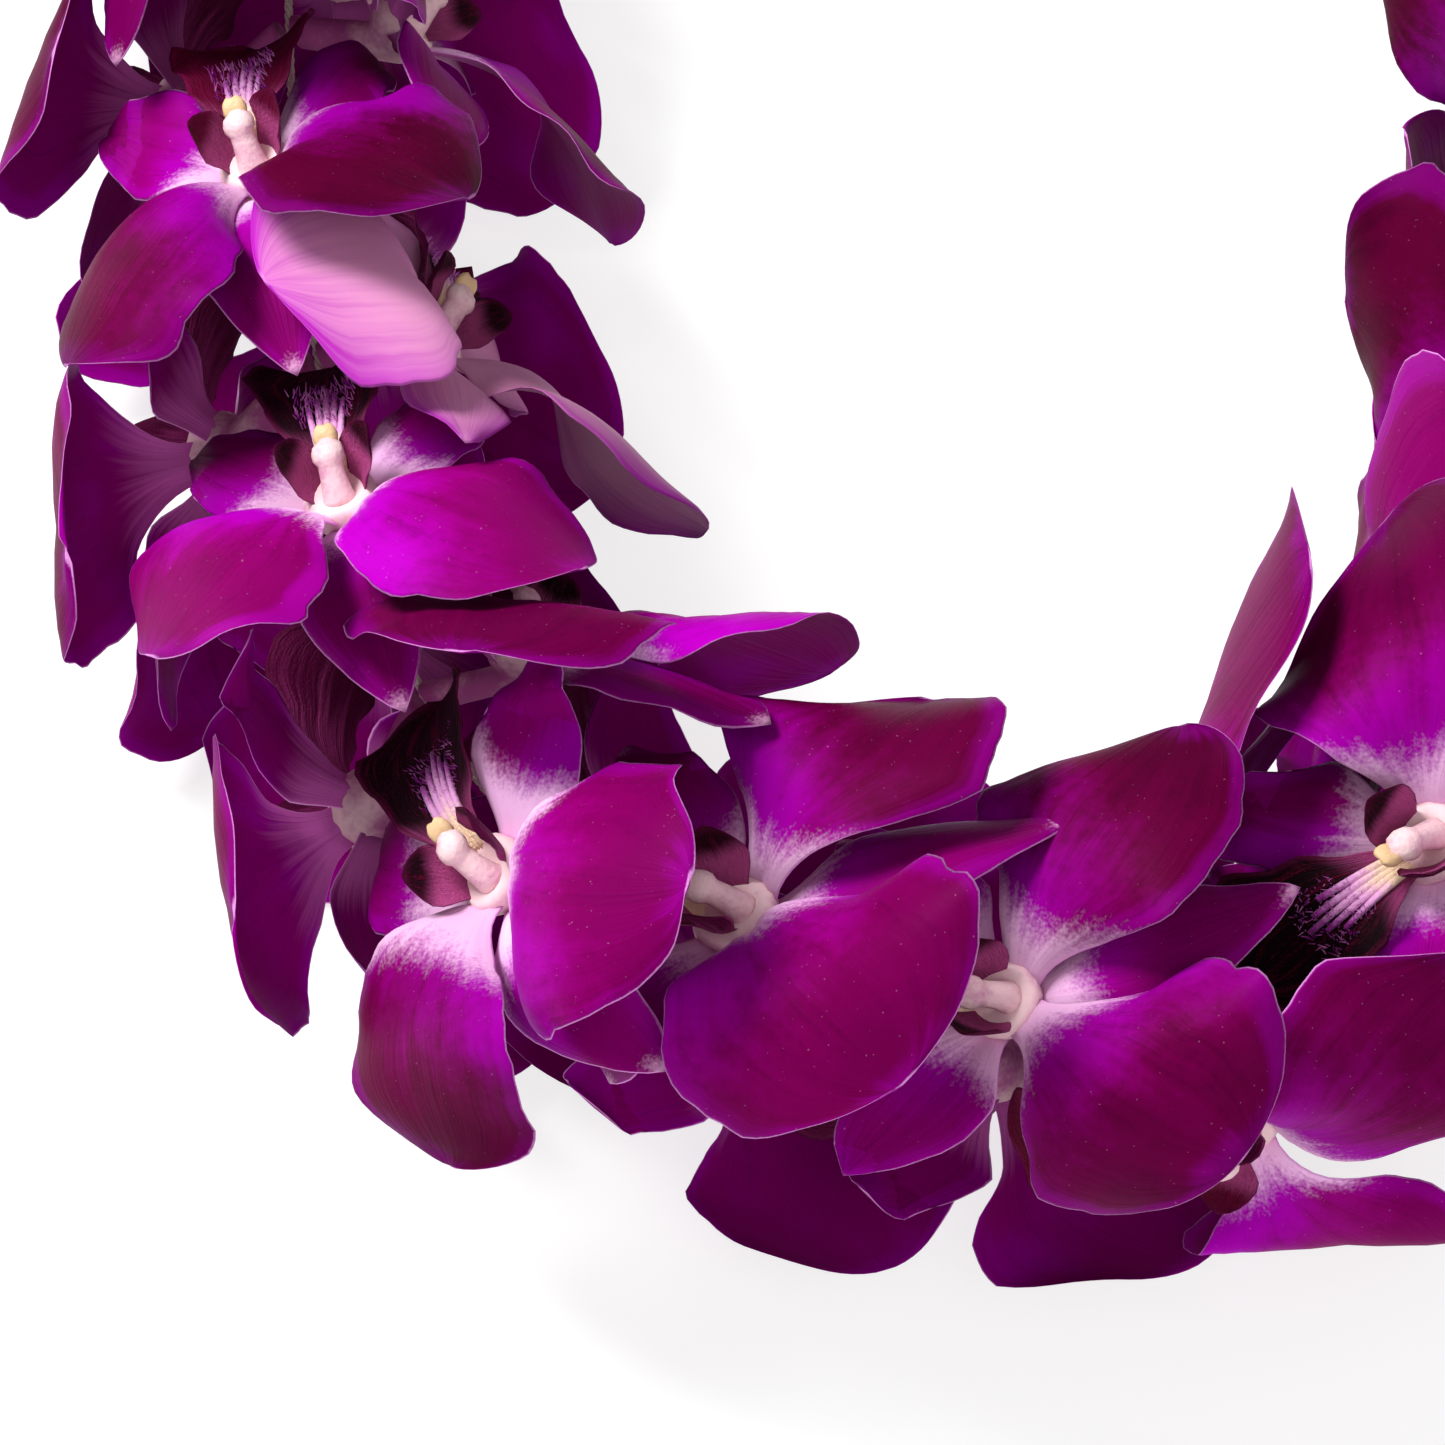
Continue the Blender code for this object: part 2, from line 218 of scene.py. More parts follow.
def along_loop(s):
    """Position, outward direction and curvature of the string at arc length s."""
    s = np.mod(np.asarray(s), AROUND)
    heading = np.interp(s, LENGTH, HEADING)
    height = np.full_like(s, STRING_HEIGHT)
    centre = np.stack([np.interp(s, LENGTH, LOOP_PX), np.interp(s, LENGTH, LOOP_PY), height], axis=-1)
    outward = np.stack([np.sin(heading), -np.cos(heading), np.zeros_like(s)], axis=-1)
    return centre, outward, np.interp(s, LENGTH, CURVATURE)


def around_string(s, azimuth, radius, sideways=0.0):
    """Points at an azimuth, from straight up towards the loop's outside, and radius from the string."""
    arrays = np.broadcast_arrays(s, azimuth, radius, sideways)
    s, azimuth, radius, sideways = (a[..., None] for a in arrays)
    centre, outward, _ = along_loop(s[..., 0])
    up = np.array([0.0, 0.0, 1.0])
    ray = np.cos(azimuth) * up + np.sin(azimuth) * outward
    across = np.cos(azimuth) * outward - np.sin(azimuth) * up
    return centre + radius * ray + sideways * across


print("string:", round(AROUND, 4), "m round")

# %% [markdown]
# ## Where each bloom sits
# Blooms are threaded in pairs, and each pair is turned a quarter round from the one before. Each bloom
# faces out, with its dorsal sepal pointing along the string, and leans so that it covers the lip of the
# next, as shingles do. The pairs that the photograph shows have their own place and angles in SEEN: a
# shift in mm, then azimuth, spin, petal turn and lean in degrees. A seeded draw varies the rest. REDRAWN
# says which draw each pair takes, so that its blooms don't cross. Both were found by a search before the
# solids were packed. This script doesn't hold that search: it repeats the solids' numbers, so that each
# bloom grows in its own solid's place.

# %% Blooms along the string
PAIRS = 38
START = 0.0170
FIRST_AZIMUTH = 37
AZIMUTH_STEP = 90
SEEN = {
    11: (0.0, -62, 18, 62, 22),
    12: (0.5, 17, -8, 43, 17),
    13: (-1.0, -55, 28, 48, 17),
    14: (-1.4, 9, 8, 45, 23),
    15: (-0.8, -38, 3, 51, 28),
    16: (-3.0, 40, 10, 43, 28),
    17: (-3.0, 1, -17, 51, 21),
    18: (3.3, 15, -5, 46, 20),
    19: (2.1, 87, 5, 53, 15),
    20: (5.4, 2, -1, 49, 20),
    21: (2.3, -75, -1, 55, 19),
}
REDRAWN = {
    0: 93, 1: 46, 2: 106, 3: 41, 4: 21, 5: 7, 6: 57, 7: 5, 8: 74, 9: 74, 10: 7, 11: 147, 12: 103,
    13: 133, 14: 11, 15: 73, 16: 89, 17: 118, 18: 96, 19: 95, 20: 74, 21: 40, 22: 119, 23: 100,
    24: 2, 25: 19, 26: 22, 27: 39, 28: 36, 29: 7, 30: 14, 31: 70, 32: 27, 33: 37, 34: 4, 35: 34,
    36: 19, 37: 20,
}
RULE_PAIR = 12
PETAL_TURN = 52
FACE_RADIUS = 0.0205
LEAN, LEAN_GIVES = 20, 0.7
OPEN_OUT = 0.10
STAND_OFF, MOST_STAND_OFF = 0.20, 3.0
MIDRIB = 0.005
BLOOM_SEED, REDRAW_STEP, SEED_ROOM, CLAW_SEED = 7, 97, 1000, 500
LONG_CLAWS, VARY_CLAW = {(16, 0): 0.13, (18, 0): 0.05}, 0.07
VARY_PLACE, VARY_SIZE = 0.0016, 0.05
VARY_AZIMUTH, VARY_SPIN, VARY_LEAN = math.radians(9), math.radians(14), math.radians(2)
SQUASH, SQUASH_AT = 0.0095, 0.0360
deg = math.radians


class Bloom:
    """Where one bloom sits on the string, and how it is turned, tilted and sized."""

    def __init__(self, pair, side):
        number = pair * 2 + side
        seed = BLOOM_SEED + REDRAW_STEP * REDRAWN[pair]
        self.draw = random.Random(seed * SEED_ROOM + number)
        by_rule = (0.0, FIRST_AZIMUTH + AZIMUTH_STEP * (pair - RULE_PAIR), 0, PETAL_TURN, LEAN)
        shift, azimuth, spin, self.petal_turn, lean = SEEN.get(pair, by_rule)
        lean = lean if side == 0 else LEAN
        loose = 0.0 if pair in SEEN and side == 0 else 1.0
        self.station = START + AROUND * pair / PAIRS + shift * MM
        self.s = self.station + self.vary(VARY_PLACE) * loose
        self.azimuth = deg(azimuth + 180 * side) + self.vary(VARY_AZIMUTH) * loose
        self.spin = deg(spin) * (1 - side) + self.vary(VARY_SPIN) * loose
        self.size = 1.0 + self.vary(VARY_SIZE)
        self.bend = float(along_loop(self.s)[2])
        squeeze = 1.0 + self.bend * FACE_RADIUS * math.sin(self.azimuth)
        self.lean = math.atan(math.tan(deg(lean) + self.vary(VARY_LEAN)) / squeeze**LEAN_GIVES)
        self.fine = random.Random(number)
        self.claw = VARY_CLAW * random.Random(number + CLAW_SEED).random()
        self.claw = LONG_CLAWS.get((pair, side), self.claw)
        self.pair, self.side = pair, side

    def vary(self, most):
        return self.draw.uniform(-most, most)

    def place(self, x, y, h):
        """World points from the bloom's own: x across, y towards its dorsal sepal, h out of its face."""
        x, y, h = (np.asarray(a, float) * self.size for a in (x, y, h))
        c, d = math.cos(self.spin), math.sin(self.spin)
        x, y = c * x + d * y, c * y - d * x
        along = y * math.cos(self.lean) - h * math.sin(self.lean)
        aside = np.sqrt(x * x + MIDRIB**2) - MIDRIB
        radius = FACE_RADIUS + y * math.sin(self.lean) + h * math.cos(self.lean)
        radius += STAND_OFF * aside * np.minimum((FACE_RADIUS / radius) ** 2, MOST_STAND_OFF)
        azimuth = self.azimuth + x / (radius + OPEN_OUT * aside)
        stretch = 1.0 + self.bend * radius * np.sin(azimuth)
        return around_string(self.s + along / stretch, azimuth, radius)


def settled(points):
    """The side underneath is pressed flatter by the lei's weight."""
    deep_and_shade = np.maximum(STRING_HEIGHT - points[..., 2], 0.0)
    points[..., 2] += SQUASH * (deep_and_shade / SQUASH_AT) ** 2
    return points


blooms = [Bloom(pair, side) for pair in range(PAIRS) for side in (0, 1)]
print("blooms:", len(blooms))

# %% [markdown]
# ## The shape of one blade
# Petals, sepals and the lip are one kind of thing: an outline on a spine that rises out of the throat and
# bends back. The outline is narrow at its claw, widest part way up, and closes in a round or pointed tip.
# Across it the blade may be cupped, twisted and waved at its rim. A formula gives any point from its share
# along the blade and across it, so the same blade can be made coarse or fine.

# %% Blade
THROAT_DEPTH, SEPAL_DEPTH, CHIN_DEPTH = 0.0044, 0.0062, 0.0080
PETAL_LENGTH, PETAL_WIDTH = 0.0400, 0.0350
SEPAL_LENGTH, SEPAL_WIDTH = 0.0295, 0.0165
DORSAL_LENGTH, DORSAL_WIDTH = 0.0325, 0.0155
LIP_LENGTH, LIP_WIDTH, LIP_WAIST = 0.0225, 0.0205, 0.16
WAIST_AT, WAIST_REACH = 0.52, 0.10
RIM_WAVES, OTHER_RIM = 1.6, 0.31


class Blade:
    """One petal, sepal or lip."""

    def __init__(self, turn, length, width, rise, bend, cup, claw, widest, tip, root=0.0034,
                 depth=(THROAT_DEPTH + SEPAL_DEPTH) / 2, sweep=0.0, twist=0.0, wave=0.0, phase=0.0,
                 waist=0.0):
        self.turn, self.length, self.width = turn, length, width
        self.rise, self.bend, self.cup = rise, bend, cup
        self.claw, self.widest, self.tip = claw, widest, tip
        self.root, self.depth = root, depth
        self.sweep, self.twist, self.wave, self.phase, self.waist = sweep, twist, wave, phase, waist
        self.u = np.linspace(0.0, 1.0, 65)
        self.angle = rise - bend * (1.0 - (1.0 - self.u) ** 2)
        step = length / (len(self.u) - 1)
        middle = (self.angle[1:] + self.angle[:-1]) / 2
        self.out = np.concatenate([[0.0], np.cumsum(np.cos(middle) * step)])
        self.up = np.concatenate([[0.0], np.cumsum(np.sin(middle) * step)])

    def half_width(self, u):
        t = np.clip(u / self.widest, 0.0, 1.0)
        rising = self.claw + (1.0 - self.claw) * t * t * (3.0 - 2.0 * t)
        v = np.clip((u - self.widest) / (1.0 - self.widest), 0.0, 1.0)
        falling = (1.0 - v ** self.tip[0]) ** self.tip[1]
        waist = 1.0 - self.waist * np.exp(-(((u - WAIST_AT) / WAIST_REACH) ** 2))
        return 0.5 * self.width * np.where(u < self.widest, rising, falling) * waist

    def points(self, u, v, offset=0.0):
        """The bloom's x, y, h of the blade at u along it and v across it, from -1 to 1."""
        u, v = np.broadcast_arrays(np.asarray(u, float), np.asarray(v, float))
        w = self.half_width(u)
        angle = np.interp(u, self.u, self.angle)
        across = w * v
        rim = np.sin(2 * math.pi * (RIM_WAVES * u + self.phase + OTHER_RIM * (v > 0)))
        lift = self.cup * w * v * v + self.wave * w * np.abs(v) ** 3 * rim
        roll = self.twist * u
        x = across * np.cos(roll) + self.sweep * self.length * u * u
        lift = lift * np.cos(roll) + across * np.sin(roll) + offset
        y = self.root + np.interp(u, self.u, self.out) - np.sin(angle) * lift
        h = -self.depth + np.interp(u, self.u, self.up) + np.cos(angle) * lift
        c, d = math.cos(self.turn), math.sin(self.turn)
        return x * c + y * d, y * c - x * d, h

    def rows(self, count):
        """Shares along the blade that space its rim evenly, so a round tip gets its share of points."""
        u = np.linspace(0.0, 1.0, 400)
        steps = np.hypot(np.diff(u) * self.length, np.diff(self.half_width(u)))
        rim = np.concatenate([[0.0], np.cumsum(steps)])
        return np.interp(np.linspace(0.0, rim[-1], count + 1), rim, u)[:-1]


def bloom_blades(bloom):
    """The five tepals and the lip of one bloom, each a little different."""
    vary, phase = bloom.vary, bloom.draw.random
    under = (SEPAL_DEPTH + CHIN_DEPTH) / 2

    def petal(side):
        return Blade(
            turn=side * deg(bloom.petal_turn + vary(5)), length=PETAL_LENGTH, width=PETAL_WIDTH,
            rise=deg(52 + vary(4)), bend=deg(54 + vary(9)), cup=-0.03 + vary(0.09), claw=0.15,
            widest=0.57, tip=(2.3, 0.56), sweep=side * vary(0.05), twist=vary(0.20), wave=0.07,
            phase=phase())

    def sepal(side):
        return Blade(
            turn=side * deg(124 + vary(4)), length=SEPAL_LENGTH, width=SEPAL_WIDTH,
            rise=deg(34 + vary(5)), bend=deg(50 + vary(12)), cup=0.05 + vary(0.10), claw=0.32,
            widest=0.38, tip=(1.6, 0.85), depth=under, sweep=side * (0.05 + vary(0.04)),
            twist=vary(0.25), wave=0.04, phase=phase())

    dorsal = Blade(
        turn=deg(vary(5)), length=DORSAL_LENGTH, width=DORSAL_WIDTH, rise=deg(33 + vary(4)),
        bend=deg(46 + vary(10)), cup=-0.05 + vary(0.08), claw=0.30, widest=0.42, tip=(1.7, 0.85),
        depth=under, twist=vary(0.20), wave=0.04, phase=phase())
    lip = Blade(
        turn=math.pi + deg(vary(5)), length=LIP_LENGTH, width=LIP_WIDTH, rise=deg(48),
        bend=deg(78 + vary(10)), cup=0.34 + vary(0.08), claw=0.22, widest=0.68, tip=(2.2, 0.62),
        wave=0.08, phase=phase(), waist=LIP_WAIST)
    right = [petal(1), sepal(1)]
    left = [sepal(-1), petal(-1)]
    return {"dorsal": dorsal, "petals": [right[0], left[1]], "sepals": [right[1], left[0]], "lip": lip}


print("a petal is", round(PETAL_LENGTH / MM, 1), "mm long")

# %% [markdown]
# ## A blade as a closed shell
# A real petal is about half a millimetre thick and thins to its rim. Two grids of points, one for each
# face, share their rims and close at the claw and the tip, so the mesh has an inside and an outside. Each
# point also keeps what the materials need: how far along and across it is, how far from the rim in
# millimetres, which face it is on, and its blade's tone, its bloom's wash and the reach of its pale claws.

# %% Shells
READS = ("along", "across", "margin", "face", "tone", "wash", "claw")
PETAL_GRID = (34, 19)
RIM_CROWDS = 1.7
THINS_TO_RIM, THINS_TO_TIP = 0.75, 0.5


class Parts:
    """The closed shells of one pair of blooms, with what their materials read at each point."""

    def __init__(self):
        self.points, self.faces, self.finishes, self.count = [], [], [], 0
        self.reads = {name: [] for name in READS}

    def add(self, points, faces, finish, **reads):
        a, b, c = (points[[f[i] for f in faces]] for i in range(3))
        outwards = np.einsum("ij,ij->i", a - points.mean(0), np.cross(b - a, c - a)).sum() > 0
        self.points.append(points)
        self.faces += [[self.count + i for i in (f if outwards else f[::-1])] for f in faces]
        self.finishes += [finish] * len(faces)
        self.count += len(points)
        for name in READS:
            self.reads[name].append(np.broadcast_to(reads.get(name, 0.0), len(points)))

    def mesh(self, name, materials):
        mesh = bpy.data.meshes.new(name)
        mesh.from_pydata(np.concatenate(self.points).tolist(), [], self.faces)
        for material in materials:
            mesh.materials.append(material)
        mesh.polygons.foreach_set("material_index", self.finishes)
        for read, values in self.reads.items():
            attribute = mesh.attributes.new(read, "FLOAT", "POINT")
            attribute.data.foreach_set("value", np.concatenate(values).astype(np.float32))
        mesh.shade_smooth()
        obj = bpy.data.objects.new(name, mesh)
        bpy.context.scene.collection.objects.link(obj)
        return obj


def shell_faces(rows, columns):
    """Faces of a blade: rows by columns in front, the same behind but for shared rims, and one apex."""
    front = np.arange(rows * columns).reshape(rows, columns)
    behind = front.copy()
    behind[:, 1:-1] = rows * columns + np.arange(rows * (columns - 2)).reshape(rows, columns - 2)
    apex = rows * columns + rows * (columns - 2)
    faces = []
    for j in range(columns - 1):
        k = j + 1
        for i in range(rows - 1):
            faces.append([front[i, j], front[i + 1, j], front[i + 1, k], front[i, k]])
            faces.append([behind[i, k], behind[i + 1, k], behind[i + 1, j], behind[i, j]])
        faces.append([front[-1, j], apex, front[-1, k]])
        faces.append([behind[-1, k], apex, behind[-1, j]])
        foot = [front[0, k], behind[0, k], behind[0, j], front[0, j]]
        faces.append([int(f) for f in dict.fromkeys(foot)])
    return [[int(f) for f in face] for face in faces]


def add_blade(parts, bloom, blade, grid, thickness, finish, relief=None, tone=0.5, wash=0.0,
              uneven=None):
    """One blade as a closed shell of rows by columns. relief(u, v, w) raises its surface, in metres, and
    uneven(u, v) is the share by which its outline swells."""
    rows, columns = grid
    u, v = np.meshgrid(blade.rows(rows), np.linspace(-1, 1, columns), indexing="ij")
    v = np.sign(v) * (1 - (1 - np.abs(v)) ** RIM_CROWDS)
    w = blade.half_width(u)
    raised = relief(u, v, w) if relief else 0.0
    half = thickness / 2 * (1 - THINS_TO_RIM * np.abs(v) ** 3) * (1 - THINS_TO_TIP * u)
    half[:, [0, -1]] = 0.0
    spread = v * (1 + uneven(u, v)) if uneven else v
    front = settled(bloom.place(*blade.points(u, spread, raised + half)))
    behind = settled(bloom.place(*blade.points(u, spread, raised - half)))
    # What would sink into the surface lies on it, one face over the other.
    on_top = front[..., 2] > behind[..., 2]
    front[..., 2] = np.maximum(front[..., 2], np.where(on_top, thickness, 0.0))
    behind[..., 2] = np.maximum(behind[..., 2], np.where(on_top, 0.0, thickness))
    end = relief(*np.array([1.0, 0.0, 0.0])) if relief else 0.0
    apex = settled(bloom.place(*blade.points(1.0, 0.0, end)))
    apex[..., 2] = np.maximum(apex[..., 2], 0.0)
    points = np.concatenate([front.reshape(-1, 3), behind[:, 1:-1].reshape(-1, 3), apex.reshape(1, 3)])

    def both(values, last):
        values = np.broadcast_to(values, u.shape)
        return np.concatenate([values.ravel(), values[:, 1:-1].ravel(), [last]])

    to_tip = (1 - u) * blade.length
    margin = np.minimum((1 - np.abs(v)) * w, to_tip * 0.8) / MM
    face = np.concatenate([np.ones(u.size), np.zeros(u[:, 1:-1].size), [0.5]])
    parts.add(points, shell_faces(rows, columns), finish, along=both(u, 1.0), across=both(v, 0.0),
              margin=both(margin, 0.0), face=face, tone=tone, wash=wash, claw=bloom.claw)


print("a petal has", len(shell_faces(*PETAL_GRID)), "faces")

# %% [markdown]
# ## Petal colour
# Seen close, a petal of this orchid is a bright violet magenta that deepens to crimson in its middle. It
# is almost white at its claw, and the change comes in streaks and specks, because single cells hold the
# pigment or don't. A pale line runs along the rim, and the back is duller than the front. One bloom is
# washed out to a pale pink. All of it follows the petal, so the masks read the shares along and across it,
# and only the grain, the specks and the clouding read its place.

# %% Petals and sepals
VIOLET, MAGENTA, CRIMSON = paint(164, 0, 168), paint(150, 0, 122), paint(98, 0, 52)
PALE, RIM, BACK = paint(250, 196, 242), paint(244, 160, 242), paint(142, 0, 114)
# The near black darkens the streaks, and it is also painted shade towards the tips of the petals.
PINK, TIP_BROWN, DARK_STREAK_AND_SHADE = paint(222, 152, 194), paint(150, 112, 84), paint(56, 0, 30)
SEPAL_TIP, BACK_CLAW, PINK_STREAK = paint(222, 160, 206), paint(206, 100, 186), paint(176, 60, 150)
SATIN = {"IOR": 1.12, "Specular_IOR_Level": 0.3, "Specular_Tint": paint(255, 150, 250)}


def petal_material(name, pale_reach, crimson, pale_tip):
    graph = Graph(name, **SATIN)
    along, across, margin, face, tone, wash, claw = (graph.read(what) for what in READS)
    place = graph.place()
    grain = graph.noise(place, 2600, 1) - 0.5
    cloud = graph.noise(place, 95, 1) - 0.5
    streak = graph.noise(graph.vector(across * 7, along * 1.3, tone * 31), 1.0, 2) - 0.5
    hair = graph.noise(graph.vector(across * 30, along * 2.2, tone * 17), 1.0, 1) - 0.5
    side = abs(across)

    mottle = graph.noise(place, 620, 2, 0.65) - 0.5
    bright_side = across * (tone - 0.5) * 1.2
    middle = (along + cloud * 0.5 + streak * 0.30 + mottle * 0.25 + bright_side * 0.6).rises(0.18, 0.68)
    edge = (margin + cloud * 6 + streak * 4 - bright_side * 3).rises(3.0, 0.0)
    opened = (along + cloud * 0.4 + streak * 0.2 + bright_side).rises(0.10, 0.60)
    colour = graph.mix(opened, VIOLET, MAGENTA)
    colour = graph.mix(middle * (tone * 0.5 + 0.6) * crimson, colour, CRIMSON)
    colour = graph.mix(edge * 0.40, colour, VIOLET)
    dark = (hair * 0.7 + streak * 0.7 + mottle * 0.5 + grain * 0.3).rises(0.0, 0.5)
    colour = graph.mix(dark * 0.30, colour, DARK_STREAK_AND_SHADE)
    # Towards its tip the middle of each petal darkens to near black: partly its own deep crimson, partly
    # painted shade where the petal bends back.
    deep_and_shade = (along - side * 0.25 + cloud * 0.9 + streak * 0.5 + mottle * 0.3).rises(0.45, 0.95)
    colour = graph.mix(deep_and_shade * (tone + 0.1) * crimson * 0.5, colour, DARK_STREAK_AND_SHADE)
    speck = graph.noise(place, 3000, 0).rises(0.82, 0.88)
    colour = graph.mix(speck * 0.22, colour, PINK)

    start = claw + pale_reach + side * side * 0.10 + streak * 0.16 + mottle * 0.10 + grain * 0.12
    pale = (along - start).rises(0.10, -0.10)
    colour = graph.mix(pale, colour, PALE)
    if pale_tip:
        tip = (along + grain * 0.1 - side * side * 0.05).rises(0.90, 0.99)
        colour = graph.mix(tip, colour, SEPAL_TIP)
        colour = graph.mix(along.rises(0.988, 0.997), colour, TIP_BROWN)
    colour = graph.mix((margin + grain * 0.10 + hair * 0.10).rises(0.22, 0.04) * 0.9, colour, RIM)

    back_pale = (along - pale_reach * 1.2 - side * 0.05 + streak * 0.2 + hair * 0.08).rises(0.16, -0.08)
    back = graph.mix((edge + cloud * 3 + streak).rises(-0.2, 1.0) * 0.7, BACK, VIOLET)
    back = graph.mix(back_pale, back, BACK_CLAW)
    back = graph.mix(dark * 0.35, back, DARK_STREAK_AND_SHADE)
    colour = graph.mix(face.rises(0.2, 0.8), back, colour)
    flushed = (along + streak * 0.5 + hair * 0.3 + side * side * 0.5).rises(0.5, 1.5)
    washed = graph.mix(flushed, PINK, VIOLET)
    washed = graph.mix((hair + streak).rises(0.0, 0.6) * 0.22, washed, PINK_STREAK)
    colour = graph.mix(wash, colour, washed)
    colour = graph.mix(1.0, colour, shade_of(graph, tone), "MULTIPLY")
    bump = (hair * 0.20 + streak * 0.35) * (1 - wash * 0.8)
    return graph.finish(colour, 0.46 + grain * 0.10, bump, 0.00025)


def shade_of(graph, tone):
    """A grey that makes one blade a little darker than the next."""
    return graph.mix(tone, (1.10, 1.10, 1.10, 1.0), (0.62, 0.60, 0.58, 1.0))


petal = petal_material("petal", pale_reach=0.10, crimson=0.95, pale_tip=False)
sepal = petal_material("sepal", pale_reach=0.15, crimson=0.45, pale_tip=True)

# %% [markdown]
# ## Lip, column and body colour
# The lip is velvet, from nearly black to dark wine, with maroon streaks that run down it like hairs. Its
# crest is five cream keels that turn violet at their fringed ends. The column and the body behind it are
# pale pink, and the anther cap at the column's tip is the colour of butter. Each has a short material of
# its own, which reads the same shares as the petals do.

# %% Lip, crest, column and string materials
def lip_material():
    graph = Graph("lip", Specular_IOR_Level=0.08, Sheen_Weight=0.08, Sheen_Tint=paint(190, 40, 130))
    along, across, margin, face, tone, wash, _ = (graph.read(what) for what in READS)
    grain = graph.noise(graph.place(), 3000, 2) - 0.5
    hair = graph.noise(graph.vector(across * 26, along * 5, tone * 23), 1.0, 3) - 0.5
    streak = graph.noise(graph.vector(across * 8, along * 1.6, tone * 13), 1.0, 2) - 0.5
    ground = graph.mix(tone.rises(0.45, 1.0), paint(18, 0, 6), paint(92, 0, 40))
    colour = graph.mix((hair + streak + grain * 0.5).rises(0.0, 0.5) * 0.8, ground, paint(120, 0, 56))
    colour = graph.mix((margin + streak).rises(1.0, 0.1) * 0.4, colour, paint(112, 0, 70))
    pale = (along - 0.10 - wash - abs(across) * 0.12 + hair * 0.15).rises(0.16, -0.12)
    colour = graph.mix(pale, colour, paint(168, 70, 126))
    back = graph.mix((along + streak).rises(0.1, 0.7), paint(150, 50, 112), paint(80, 0, 50))
    colour = graph.mix(face.rises(0.2, 0.8), back, colour)
    return graph.finish(colour, 0.6 + grain * 0.1, hair + grain * 0.5, 0.0004)


def crest_material():
    graph = Graph("crest", Specular_IOR_Level=0.3, Sheen_Weight=0.2)
    along = graph.read("along")
    grain = graph.noise(graph.place(), 2500, 2) - 0.5
    colour = graph.mix((along + grain * 0.3).rises(0.25, 0.60), paint(240, 210, 176), paint(228, 160, 216))
    colour = graph.mix((along + grain * 0.3).rises(0.66, 0.98), colour, paint(164, 30, 160))
    return graph.finish(colour, 0.5 + grain * 0.1, grain, 0.0002)


def column_material():
    graph = Graph("column", Specular_IOR_Level=0.2)
    along = graph.read("along")
    place = graph.place()
    grain = graph.noise(place, 1800, 2) - 0.5
    cloud = graph.noise(place, 260, 2) - 0.5
    colour = graph.mix((cloud + grain * 0.4).rises(-0.1, 0.4), paint(238, 204, 206), paint(206, 138, 172))
    colour = graph.mix(along.rises(0.90, 1.0), colour, paint(226, 190, 146))
    return graph.finish(colour, 0.42 + grain * 0.1, grain * 0.6 + cloud, 0.0002)


def body_material():
    graph = Graph("flower_body", Specular_IOR_Level=0.2)
    along = graph.read("along")
    place = graph.place()
    grain = graph.noise(place, 1500, 2) - 0.5
    cloud = graph.noise(place, 200, 3) - 0.5
    opened = (along + cloud * 1.2 + grain * 0.4).rises(0.2, 0.9)
    colour = graph.mix(opened, paint(180, 84, 150), paint(240, 204, 208))
    return graph.finish(colour, 0.48 + grain * 0.1, cloud + grain * 0.3, 0.0002)


def string_material():
    graph = Graph("string_fibre", Specular_IOR_Level=0.2)
    fibre = graph.noise(graph.place(), 4000, 3) - 0.5
    colour = graph.mix(fibre + 0.5, paint(236, 230, 214), paint(206, 196, 172))
    return graph.finish(colour, 0.85 + fibre * 0.1, fibre, 0.0001)


def fringe_material():
    graph = Graph("fringe", Specular_IOR_Level=0.1)
    cloud = graph.noise(graph.place(), 700, 2)
    return graph.finish(graph.mix(cloud.rises(0.35, 0.65), paint(150, 24, 150), paint(214, 130, 200)), 0.5)


lip, crest, column = lip_material(), crest_material(), column_material()
fringe_hair = fringe_material()
flower_body, string_fibre = body_material(), string_material()
FINISHES = [petal, sepal, lip, crest, column, flower_body]
PETAL, SEPAL, LIP, CREST, COLUMN, BODY = range(6)

# %% [markdown]
# ## Tepals and lip
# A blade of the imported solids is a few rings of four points. Here the same formulas are read at many more
# points, and relief too fine for the solids is laid over them: a furrow down the middle, faint ribs along
# the veins, and a crimped rim. No two real petals match, so their tips lift, their rims roll and their
# outlines swell by seeded amounts.

# %% Blades of one bloom
SEPAL_GRID, LIP_GRID, LOBE_GRID = (20, 11), (22, 17), (9, 9)
PETAL_THICKNESS, SEPAL_THICKNESS, LIP_THICKNESS, LOBE_THICKNESS = 0.0006, 0.0007, 0.0007, 0.0006
FURROW_DEPTH, FURROW_WIDTH = 0.00045, 0.0011
VEIN_HEIGHT, VEIN_RATE = 0.00004, 26
PETAL_SWELL, SEPAL_SWELL = 0.05, 0.04


def petal_relief(ruffle, phase, curl, roll, tip, fold):
    """In metres: how far the rim waves, bends back and swings, the tip lifts and the sides fold up. The
    phase, from 0 to 1, shifts the waves."""
    def relief(u, v, w):
        swell = np.sin(math.pi * np.clip(u, 0, 1)) ** 0.7
        bent = (roll * v * np.sin(2 * math.pi * (1.2 * u + phase)) - curl * v**4) * swell
        furrow = -FURROW_DEPTH * np.exp(-((v * w / FURROW_WIDTH) ** 2)) * (1 - 0.6 * u)
        veins = VEIN_HEIGHT * np.cos(v * VEIN_RATE) * np.minimum(w / 0.012, 1)
        crimp = ruffle * v**4 * np.sin(2 * math.pi * (3.1 * u + phase + 0.4 * (v > 0)))
        crimp = crimp * np.minimum(u * 4, 1)
        lifted = tip * np.clip(2 * u - 0.9, 0, 1) ** 2 + fold * np.sqrt(v * v + 0.02) * swell
        return furrow + veins + crimp + bent + lifted
    return relief


